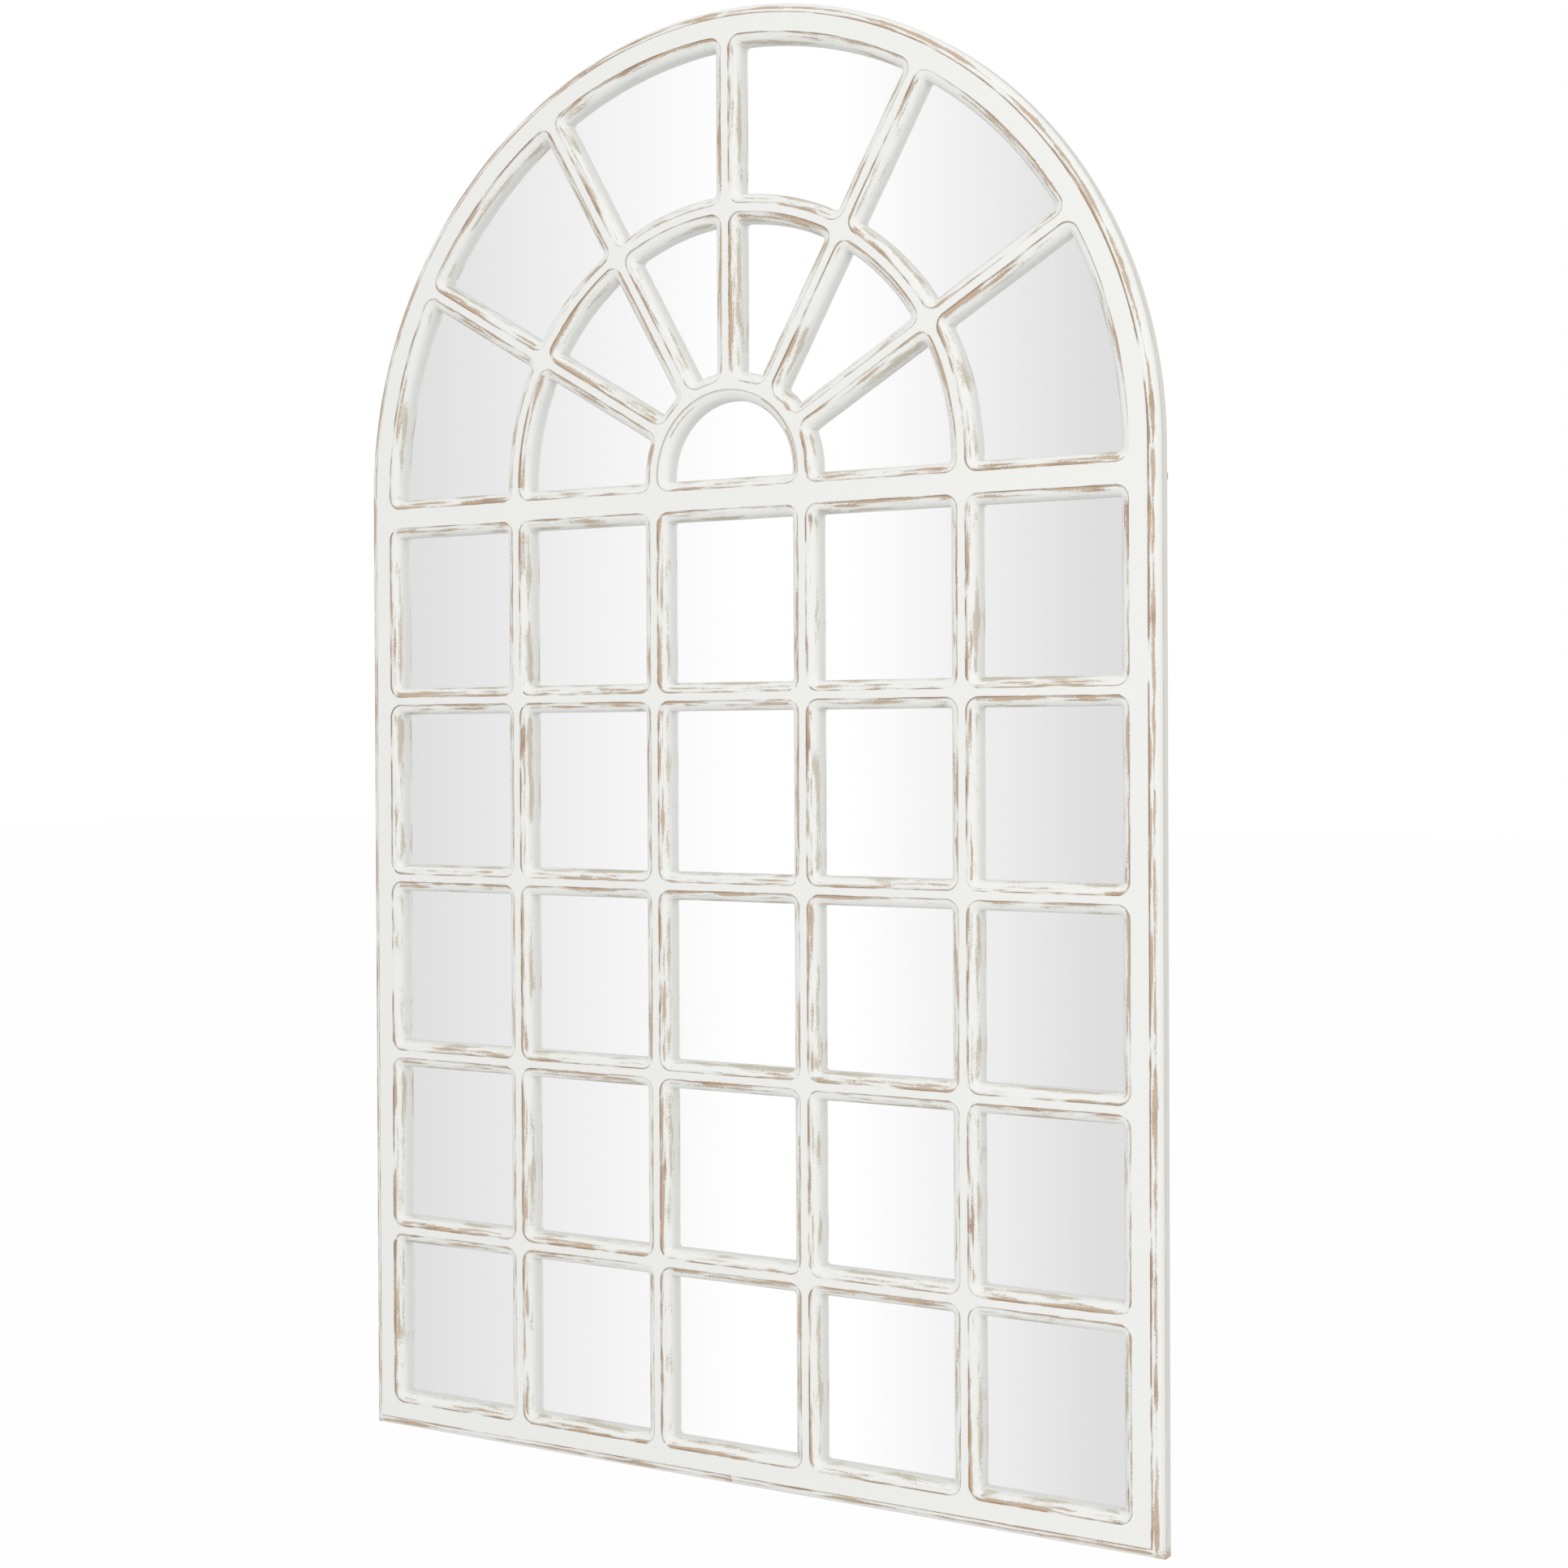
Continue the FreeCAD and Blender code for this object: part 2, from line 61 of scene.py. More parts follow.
# ---------------------------------------------------------------- shader maths
class Shade:
    """A shader node tree with one way of adding nodes to it."""

    def __init__(self, name: str) -> None:
        """Start an empty material.

        Args:
            name: the material's name.
        """
        self.material = bpy.data.materials.new(name)
        self.material.use_nodes = True
        self.tree = self.material.node_tree
        self.tree.nodes.clear()
        self.out = self.tree.nodes.new("ShaderNodeOutputMaterial")

    def node(self, kind: str, settings: dict | None = None, **inputs: object) -> bpy.types.Node:
        """Add one node.

        Args:
            kind: Blender's node type.
            settings: attributes that are set before the sockets.
            inputs: socket name, or "i" and a number, to a value or a link.

        Returns:
            The new node.
        """
        made = self.tree.nodes.new(kind)
        for key, value in (settings or {}).items():
            setattr(made, key, value)
        for key, value in inputs.items():
            if key[0] == "i" and key[1:].isdigit():
                socket = made.inputs[int(key[1:])]
            else:
                socket = made.inputs[key.replace("_", " ")]
            self.feed(socket, value)
        return made

    def feed(self, socket: bpy.types.NodeSocket, value: object) -> None:
        """Set a socket to a number or colour, or link it.

        Args:
            socket: the socket to fill.
            value: a plain value, a socket, or a Val.
        """
        if isinstance(value, Val):
            value = value.socket
        if isinstance(value, bpy.types.NodeSocket):
            self.tree.links.new(value, socket)
        else:
            socket.default_value = value

    def maths(self, operation: str, *terms: object) -> Val:
        """Add a Math node.

        Args:
            operation: the Math node's operation.
            terms: its inputs in order.

        Returns:
            The result.
        """
        made = self.node("ShaderNodeMath", {"operation": operation},
                         **{f"i{k}": term for k, term in enumerate(terms)})
        return Val(self, made.outputs[0])

    def axes(self) -> tuple[Val, Val, Val]:
        """Give the object coordinates.

        Returns:
            Across, deep and up, in metres.
        """
        coords = self.node("ShaderNodeTexCoord")
        parts = self.node("ShaderNodeSeparateXYZ", i0=coords.outputs["Object"])
        return tuple(Val(self, parts.outputs[k]) for k in range(3))

    def vector(self, x: object, y: object, z: object) -> bpy.types.NodeSocket:
        """Join three values into a vector."""
        return self.node("ShaderNodeCombineXYZ", i0=x, i1=y, i2=z).outputs[0]

    def noise(self, at: bpy.types.NodeSocket, scale: float, detail: float,
              rough: float = 0.55) -> Val:
        """Sample a noise pattern.

        Args:
            at: where to sample it.
            scale: its scale.
            detail: how many octaves it has.
            rough: how strong the finer octaves are.

        Returns:
            The pattern, mostly between 0.2 and 0.8.
        """
        made = self.node("ShaderNodeTexNoise", Vector=at, Scale=scale, Detail=detail,
                         Roughness=rough)
        return Val(self, made.outputs[0])

    def blend(self, mask: object, low: object, high: object) -> bpy.types.NodeSocket:
        """Mix two colours by a mask."""
        # On the Mix node, sockets 6 and 7 take the colours, and output 2 gives the result.
        made = self.node("ShaderNodeMix", {"data_type": "RGBA"}, i0=mask, i6=low, i7=high)
        return made.outputs[2]

    def ramp(self, value: object, low: float, high: float) -> Val:
        """Turn a value into a smooth step.

        Args:
            value: the value.
            low: where the step starts.
            high: where it ends.

        Returns:
            0 below the step and 1 above it.
        """
        settings = {"interpolation_type": "SMOOTHSTEP", "clamp": True}
        made = self.node("ShaderNodeMapRange", settings, i0=value, i1=low, i2=high, i3=0.0, i4=1.0)
        return Val(self, made.outputs[0])

    def surface(self, **inputs: object) -> bpy.types.Material:
        """Close the tree with a Principled shader.

        Args:
            inputs: the shader's sockets.

        Returns:
            The finished material.
        """
        made = self.node("ShaderNodeBsdfPrincipled", None, **inputs)
        self.tree.links.new(made.outputs[0], self.out.inputs[0])
        return self.material


class Val:
    """A shader value that takes part in Python expressions."""

    def __init__(self, shade: Shade, socket: bpy.types.NodeSocket) -> None:
        """Wrap a socket.

        Args:
            shade: the tree that the socket is in.
            socket: the socket.
        """
        self.shade = shade
        self.socket = socket

    def __add__(self, other: object) -> Val:
        """Add."""
        return self.shade.maths("ADD", self, other)

    def __radd__(self, other: object) -> Val:
        """Add, from the right."""
        return self.shade.maths("ADD", other, self)

    def __sub__(self, other: object) -> Val:
        """Take away."""
        return self.shade.maths("SUBTRACT", self, other)

    def __rsub__(self, other: object) -> Val:
        """Take away from a number."""
        return self.shade.maths("SUBTRACT", other, self)

    def __mul__(self, other: object) -> Val:
        """Multiply."""
        return self.shade.maths("MULTIPLY", self, other)

    def __rmul__(self, other: object) -> Val:
        """Multiply, from the right."""
        return self.shade.maths("MULTIPLY", other, self)

    def __truediv__(self, other: object) -> Val:
        """Divide."""
        return self.shade.maths("DIVIDE", self, other)

    def __abs__(self) -> Val:
        """Size without sign."""
        return self.shade.maths("ABSOLUTE", self)

    def __neg__(self) -> Val:
        """Change sign."""
        return self.shade.maths("MULTIPLY", self, -1.0)

    def at_least(self, other: object) -> Val:
        """Greater of two values."""
        return self.shade.maths("MAXIMUM", self, other)

    def at_most(self, other: object) -> Val:
        """Smaller of two values."""
        return self.shade.maths("MINIMUM", self, other)

    def rounded(self) -> Val:
        """Nearest whole number."""
        return self.shade.maths("ROUND", self)

    def over(self, limit: object) -> Val:
        """1 where the value is over a limit, else 0."""
        return self.shade.maths("GREATER_THAN", self, limit)

    def pick(self, yes: object, no: object) -> Val:
        """One value where this mask is 1 and the other where it is 0."""
        return self.shade.maths("ADD", self.shade.maths("MULTIPLY", self, yes),
                                self.shade.maths("MULTIPLY", 1.0 - self, no))


# ---------------------------------------------------------------- finishes
def srgb(red: Number, green: Number, blue: Number) -> tuple[float, float, float, float]:
    """Turn a colour in 0 to 255 screen steps into linear light.

    Args:
        red: red step.
        green: green step.
        blue: blue step.

    Returns:
        The colour for a shader socket.
    """
    def linear(step: Number) -> float:
        """One channel, by the sRGB standard's own numbers."""
        part = step / 255
        return part / 12.92 if part <= 0.04045 else ((part + 0.055) / 1.055) ** 2.4
    return (linear(red), linear(green), linear(blue), 1.0)


@dataclass(frozen=True)
class Moulding:
    """Sizes in millimetres of the pane layout that the paint wear follows."""

    half_width: float = 406.5
    spring: float = 886.5
    pitch_x: float = 154.0
    pitch_z: float = 167.7
    half_x: float = 64.4
    half_z: float = 71.35
    bottom: float = 33.4
    sill_drop: float = 3.6
    bar_half: float = 12.6
    corner: float = 2.8
    bead: float = 8.3
    step_line: float = 8.9
    face: float = -13.9
    bead_depth: float = 9.3
    layer: float = 13.0
    last_col: int = 2
    last_row: int = 4
    last_ring: int = 2
    spoke_turn: float = 30.0

    @property
    def change(self) -> float:
        """Height of the middle of the transom, where the grid gives way to the fan."""
        top = self.bottom + self.last_row * self.pitch_z + 2 * self.half_z
        return (top + self.spring - self.sill_drop) / 2


@dataclass
class EdgeField:
    """Where a point lies beside the nearest moulded edge."""

    off: Val
    along: Val
    tag: Val
    lean: Val


@dataclass(frozen=True)
class Streak:
    """Wear that runs along a moulding, in millimetres measured over it."""

    centre: float
    reach: float
    amount: float


@dataclass(frozen=True)
class Tone:
    """How one tone comes in as a value grows, and how the grain frays its edge."""

    grain: float
    low: float
    high: float
    share: float = 1.0

    def mask(self, s: Shade, value: Val, grain: Val) -> Val:
        """Turn a value into this tone's share of the colour."""
        return s.ramp(value + (grain - HALF) * self.grain, self.low, self.high) * self.share


@dataclass(frozen=True)
class BrokenLine:
    """A thin dark line past a moulding's edge, in millimetres, with gaps along it."""

    past: float
    wander: float
    half: float
    gap_low: float
    gap_high: float

    def mask(self, s: Shade, off: Val, grain: Val, gaps: Val) -> Val:
        """Mask of the line.

        Args:
            s: the shader tree.
            off: distance past the moulding's edge.
            grain: noise that bends the line.
            gaps: noise that breaks it.

        Returns:
            1 on the line and 0 beside it.
        """
        bent = off - self.past + (grain - HALF) * self.wander
        line = 1.0 - s.ramp(abs(bent), self.half * HALF, self.half)
        return line * s.ramp(gaps, self.gap_low, self.gap_high)


@dataclass(frozen=True)
class DistressedPaint:
    """White paint rubbed through to tan wood along the routed mouldings, with painted shade washed
    over the outer side face.
    """

    layout: Moulding = field(default_factory=Moulding)
    white: tuple = srgb(244, 244, 241)
    # shade is the grey-white of the smears round worn patches, and also painted shade that darkens
    # the outer side face.
    shade: tuple = srgb(222, 222, 212)
    drab: tuple = srgb(194, 183, 159)
    tan: tuple = srgb(203, 180, 156)
    brown: tuple = srgb(180, 154, 132)
    rim: tuple = srgb(158, 141, 125)
    line: tuple = srgb(171, 148, 127)

    roughness: float = 0.55
    bare_roughness: float = 0.2
    bump_strength: float = 0.25
    bump_height: float = 0.0004
    grain_height: float = 0.4
    bare_depth: float = 0.6

    quirk_streak: Streak = Streak(6.8, 2.6, 0.0)
    bead_streak: Streak = Streak(3.2, 3.0, -0.1)
    rim_streak: Streak = Streak(3.0, 2.2, 0.12)
    step_streak: Streak = Streak(7.2, 1.6, 0.04)
    wall_streak: Streak = Streak(-4.0, 6.0, -0.02)

    bare_tone: Tone = Tone(0.25, 0.5, 0.53)
    fringe_tone: Tone = Tone(0.55, 0.45, 0.5, 0.7)
    smear_tone: Tone = Tone(0.0, 0.2, 0.45, 0.3)
    wall_tone: Tone = Tone(0.8, 0.46, 0.55, 0.75)
    wood_tone: Tone = Tone(0.4, 0.54, 0.7)

    quirk_line: BrokenLine = BrokenLine(0.5, 0.7, 0.6, 0.36, 0.6)
    step_line: BrokenLine = BrokenLine(0.45, 0.9, 0.62, 0.34, 0.5)
    seam_line: BrokenLine = BrokenLine(0.5, 1.0, 0.6, 0.3, 0.5)
    seam_share: float = 0.6
    line_share: float = 0.9

    grain_size: float = 1.3
    wood_size: float = 45.0
    fine_length: float = 24.0
    fine_width: float = 0.8
    fine_share: float = 1.15
    broad_length: float = 55.0
    broad_width: float = 16.0
    broad_share: float = 1.75
    band_share: float = 0.32
    band_floor: float = -1.4
    lean_reach: float = 9.0
    lean_share: float = 0.3
    threshold: float = 1.25
    stray: float = 5.0
    stray_past: float = 0.3
    pane_gap_length: float = 30.0
    rim_gap_length: float = 40.0
    corner_amount: float = 0.66
    corner_grain: float = 0.9
    corner_reach: float = 26.0
    outside_band: float = 0.3
    # Painted shade on the outer side face: how much of the shade colour covers it, and the depths
    # over which it fades in.
    side_shade_share: float = 0.7
    side_shade_fade_before: float = 3.0
    side_shade_fade_after: float = 1.0

    def grid(self, s: Shade, x: Val, z: Val) -> EdgeField:
        """Distance to the nearest rectangular pane.

        Args:
            s: the shader tree.
            x: across, in millimetres.
            z: up, in millimetres.

        Returns:
            The place beside that pane's edge.
        """
        m = self.layout
        col = (x / m.pitch_x).rounded().at_least(-m.last_col).at_most(m.last_col)
        first = m.bottom + m.half_z
        row = ((z - first) / m.pitch_z).rounded().at_least(0.0).at_most(m.last_row)
        u, v = x - col * m.pitch_x, z - first - row * m.pitch_z
        a, b = abs(u) - (m.half_x - m.corner), abs(v) - (m.half_z - m.corner)
        off = self.rounded_off(s, a, b)
        upright = s.maths("GREATER_THAN", a, b)
        side_u, side_v = u.over(0.0), v.over(0.0)
        # A tag only has to differ from edge to edge, so that each has noise of its own.
        tag = upright.pick(col * 2.0 + side_u + row * 11.3, row * 2.0 + side_v + col * 13.7 + 40.0)
        return EdgeField(off, upright.pick(z, x), tag, abs(a - b))

    def fan(self, s: Shade, x: Val, z: Val) -> EdgeField:
        """Distance to the nearest pane of the fan.

        Args:
            s: the shader tree.
            x: across, in millimetres.
            z: up, in millimetres.

        Returns:
            The place beside that pane's edge.
        """
        m = self.layout
        rise = z - m.spring
        radius = s.maths("SQRT", x * x + rise * rise)
        ring = (radius / m.pitch_x).rounded().at_most(m.last_ring)
        across = radius - ring * m.pitch_x
        b = abs(across) - m.half_x + m.corner
        turn = s.maths("ARCTAN2", rise.at_least(0.0), abs(x))
        step = math.radians(m.spoke_turn)
        sector = s.maths("FLOOR", turn / step)
        swing = turn - (sector + HALF) * step
        beside = m.bar_half - radius * s.maths("SINE", step / 2 - abs(swing))
        foot = s.maths("LESS_THAN", turn, step / 2).at_least(s.maths("LESS_THAN", ring, HALF))
        a = foot.pick(-m.sill_drop - rise, beside) + m.corner
        off = self.rounded_off(s, a, b)
        arc = s.maths("GREATER_THAN", b, a)
        whole = s.maths("ARCTAN2", rise, x)
        side = x.over(0.0)
        spoke_tag = sector * 3.0 + swing.over(0.0) + side * 17.0 + ring * 5.3 + 90.0
        arc_tag = ring * 4.0 + across.over(0.0) + sector * 7.7 + side * 23.0 + 150.0
        return EdgeField(off, arc.pick(whole * ring * m.pitch_x, foot.pick(x, radius)),
                         arc.pick(arc_tag, spoke_tag), abs(a - b))

    def rounded_off(self, s: Shade, a: Val, b: Val) -> Val:
        """Distance outside a rounded corner from the two side distances."""
        outer_a, outer_b = a.at_least(0.0), b.at_least(0.0)
        return s.maths("SQRT", outer_a * outer_a + outer_b * outer_b) - self.layout.corner

    def rim_edge(self, s: Shade, x: Val, z: Val) -> EdgeField:
        """Distance in from the outside edge of the frame.

        Args:
            s: the shader tree.
            x: across, in millimetres.
            z: up, in millimetres.

        Returns:
            The place beside the outside edge.
        """
        m = self.layout
        rise = z - m.spring
        arch = rise.over(0.0)
        radius = s.maths("SQRT", x * x + rise * rise)
        side = m.half_width - abs(x)
        foot = s.maths("LESS_THAN", z, side)
        off = arch.pick(m.half_width - radius, side.at_most(z))
        along = arch.pick(s.maths("ARCTAN2", rise, x) * m.half_width, foot.pick(x, z))
        tag = arch * 3.0 + foot * 5.0 + x.over(0.0) * 9.0 + 300.0
        return EdgeField(off, along, tag, arch.pick(m.half_width, abs(side - z)))

    def nearest_pane(self, s: Shade, x: Val, z: Val) -> EdgeField:
        """Choose between the grid's nearest pane and the fan's.

        Args:
            s: the shader tree.
            x: across, in millimetres.
            z: up, in millimetres.

        Returns:
            The place beside that pane's edge.
        """
        grid, fan = self.grid(s, x, z), self.fan(s, x, z)
        upper = z.over(self.layout.change)
        return EdgeField(upper.pick(fan.off, grid.off), upper.pick(fan.along, grid.along),
                         upper.pick(fan.tag, grid.tag), upper.pick(fan.lean, grid.lean))

    def cloud(self, s: Shade, place: tuple[Val, Val, Val], size: float, detail: float,
              rough: float = 0.55) -> Val:
        """Noise with patches of one size.

        Args:
            s: the shader tree.
            place: across, deep and up, in millimetres.
            size: the patches' size in millimetres.
            detail: how many octaves it has.
            rough: how strong the finer octaves are.

        Returns:
            The pattern.
        """
        return s.noise(s.vector(*(axis / size for axis in place)), 1.0, detail, rough)

    def streaks(self, s: Shade, edge: EdgeField, depth: Val, streak: Streak) -> Val:
        """Dry-brush wear stretched along an edge.

        Args:
            s: the shader tree.
            edge: the place beside the edge.
            depth: millimetres behind the flat face.
            streak: where the wear is and how much there is.

        Returns:
            Wear, worn through where it is over 0.5.
        """
        over = edge.off - depth
        fine_at = s.vector(edge.along / self.fine_length, over / self.fine_width,
                           edge.tag * 3.7 + streak.centre)
        broad_at = s.vector(edge.along / self.broad_length, over / self.broad_width,
                            edge.tag * 5.1 + streak.centre)
        fine = s.noise(fine_at, 1.0, detail=6.0, rough=0.66)
        broad = s.noise(broad_at, 1.0, detail=2.0)
        band = 1.0 - abs(over - streak.centre) / streak.reach
        corner = 1.0 - s.ramp(edge.lean, 0.0, self.lean_reach)
        worn = fine * self.fine_share + broad * self.broad_share
        held = band.at_least(self.band_floor) * self.band_share - corner * self.lean_share
        return worn + held + (streak.amount - self.threshold)

    def corner_wear(self, s: Shade, x: Val, z: Val, grain: Val) -> Val:
        """Wear round the two corners at the foot.

        Args:
            s: the shader tree.
            x: across, in millimetres.
            z: up, in millimetres.
            grain: noise that frays it.

        Returns:
            Wear, worn through where it is over 0.5.
        """
        beside = self.layout.half_width - abs(x)
        reach = s.maths("SQRT", beside * beside + z * z)
        return (grain - HALF) * self.corner_grain + self.corner_amount - reach / self.corner_reach

    def build(self) -> bpy.types.Material:
        """Make the paint.

        Returns:
            The material.
        """
        m = self.layout
        s = Shade("distressed_paint")
        place = x, y, z = tuple(axis * MM for axis in s.axes())
        depth = y - m.face
        pane, rim = self.nearest_pane(s, x, z), self.rim_edge(s, x, z)
        grain = self.cloud(s, place, self.grain_size, detail=4.0, rough=0.65)
        front = s.maths("LESS_THAN", depth, m.layer)
        outside = s.maths("LESS_THAN", rim.off, self.outside_band)

        limit = (grain - HALF) * self.stray + (m.step_line + self.stray_past)
        inner = s.maths("LESS_THAN", pane.off, limit) * front
        outer = s.maths("LESS_THAN", rim.off, limit) * front
        wear = self.corner_wear(s, x, z, grain)
        for streak in (self.quirk_streak, self.bead_streak):
            wear = wear.at_least(self.streaks(s, pane, depth, streak) * inner)
        for streak in (self.rim_streak, self.step_streak):
            wear = wear.at_least(self.streaks(s, rim, depth, streak) * outer)
        wall_wear = self.streaks(s, pane, depth, self.wall_streak) * inner

        pane_gaps_at = s.vector(pane.along / self.pane_gap_length, pane.tag * 2.3, 0.0)
        rim_gaps_at = s.vector(rim.along / self.rim_gap_length, rim.tag * 2.3, 5.0)
        pane_gaps = s.noise(pane_gaps_at, 1.0, detail=2.0)
        rim_gaps = s.noise(rim_gaps_at, 1.0, detail=2.0)
        quirk = self.quirk_line.mask(s, pane.off - m.bead, grain, pane_gaps)
        step = self.step_line.mask(s, rim.off - m.bead, grain, rim_gaps)
        seam = self.seam_line.mask(s, depth - m.bead_depth, grain, rim_gaps) * outside
        lines = quirk.at_least(step).at_least(seam * self.seam_share) * front

        bare = self.bare_tone.mask(s, wear, grain)
        smear = self.smear_tone.mask(s, wear, grain)
        # Painted shade: from just before the bead's depth backwards, the outer side face takes the
        # shade colour, so that it reads darker as if turned from the light.
        behind = s.ramp(depth, m.bead_depth - self.side_shade_fade_before, m.bead_depth + self.side_shade_fade_after)
        side = behind * outside * self.side_shade_share
        deep = self.cloud(s, place, self.wood_size, detail=2.0)
        wood = s.blend(self.wood_tone.mask(s, deep, grain), self.tan, self.brown)
        # The shade colour goes where the wear leaves a smear, and over the outer side face as
        # painted shade.
        colour = s.blend(smear.at_least(side), self.white, self.shade)
        colour = s.blend(self.wall_tone.mask(s, wall_wear, grain), colour, self.drab)
        colour = s.blend(self.fringe_tone.mask(s, wear, grain), colour, self.rim)
        colour = s.blend(bare, colour, wood)
        colour = s.blend(lines * self.line_share, colour, self.line)
        bump = s.node("ShaderNodeBump", None, Strength=self.bump_strength,
                      Distance=self.bump_height,
                      Height=grain * self.grain_height - bare * self.bare_depth)
        return s.surface(Base_Color=colour, Roughness=bare * self.bare_roughness + self.roughness,
                         Normal=bump.outputs[0])


@dataclass(frozen=True)
class PlainFinish:
    """A finish that runs unevenly between two close colours."""

    name: str
    colour: tuple
    dark: tuple
    roughness: float
    metallic: float = 0.0
    scale: float = 40.0
    unevenness: float = 0.2

    def build(self) -> bpy.types.Material:
        """Make the finish.

        Returns:
            The material.
        """
        s = Shade(self.name)
        mottle = s.noise(s.vector(*s.axes()), self.scale, detail=4.0, rough=0.6)
        colour = s.blend(s.ramp(mottle, low=0.35, high=0.7), self.dark, self.colour)
        roughness = (mottle - HALF) * self.unevenness + self.roughness
        return s.surface(Base_Color=colour, Roughness=roughness, Metallic=self.metallic)


@dataclass(frozen=True)
class SilveredGlass:
    """Mirror plate, with float glass's trace of green."""

    tint: tuple = (0.955, 0.96, 0.955, 1.0)

    def build(self) -> bpy.types.Material:
        """Make the mirror.

        Returns:
            The material.
        """
        s = Shade("silvered_glass")
        return s.surface(Base_Color=self.tint, Roughness=0.0, Metallic=1.0)


class Finish(Enum):
    """The finishes that pieces are given."""

    PAINT = "paint"
    MIRROR = "mirror"
    HARDBOARD = "hardboard"
    BARE_WOOD = "bare wood"
    STEEL = "steel"
    RUBBER = "rubber"


RECIPES = {
    Finish.PAINT: DistressedPaint(),
    Finish.MIRROR: SilveredGlass(),
    Finish.HARDBOARD: PlainFinish("hardboard", colour=srgb(158, 122, 90), dark=srgb(134, 100, 71),
                                  roughness=0.6, scale=420.0),
    Finish.BARE_WOOD: PlainFinish("bare_wood", colour=srgb(205, 172, 130),
                                  dark=srgb(180, 142, 100), roughness=0.6),
    Finish.STEEL: PlainFinish("zinc_steel", colour=srgb(200, 200, 198), dark=srgb(176, 177, 176),
                              roughness=0.32, metallic=1.0, scale=300.0),
    Finish.RUBBER: PlainFinish("black_rubber", colour=srgb(40, 40, 40), dark=srgb(30, 30, 30),
                               roughness=0.75),
}


@dataclass
class FinishShelf:
    """Makes each finish once and hands it out."""

    made: dict[Finish, bpy.types.Material] = field(default_factory=dict)

    def get(self, finish: Finish) -> bpy.types.Material:
        """Give a finish, making it the first time.

        Args:
            finish: which one.

        Returns:
            The material.
        """
        if finish not in self.made:
            self.made[finish] = RECIPES[finish].build()
        return self.made[finish]

    def dress(self, obj: bpy.types.Object, finish: Finish) -> None:
        """Give an object one finish all over.

        Args:
            obj: the object.
            finish: its finish.
        """
        obj.data.materials.clear()
        obj.data.materials.append(self.get(finish))
        LOG.info("dressed %s with %s", obj.name, finish.value)


# ---------------------------------------------------------------- sub-assemblies
@dataclass
class Frame:
    """The wooden frame: moulded front layer, rear strips and dowels."""

    nodes: dict[str, bpy.types.Object]
    shelf: FinishShelf
    painted: tuple[str, ...] = ("left_stile", "right_stile", "bottom_rail", "transom_rail",
                                "arch_rail", "ring_segment", "hub_ring", "inner_spoke",
                                "outer_spoke", "muntin", "cross_bars", "rear_strip",
                                "rear_arch_strip")

    def build(self) -> None:
        """Dress the wooden pieces."""
        for name, obj in self.nodes.items():
            if name.startswith(self.painted):
                self.shelf.dress(obj, Finish.PAINT)
            elif name.endswith("_dowels"):
                self.shelf.dress(obj, Finish.BARE_WOOD)


@dataclass
class Glazing:
    """The mirror plate and the board behind it."""

    nodes: dict[str, bpy.types.Object]
    shelf: FinishShelf

    def build(self) -> None:
        """Dress the plate and the board."""
        self.shelf.dress(self.nodes["mirror_glass"], Finish.MIRROR)
        self.shelf.dress(self.nodes["backing_board"], Finish.HARDBOARD)


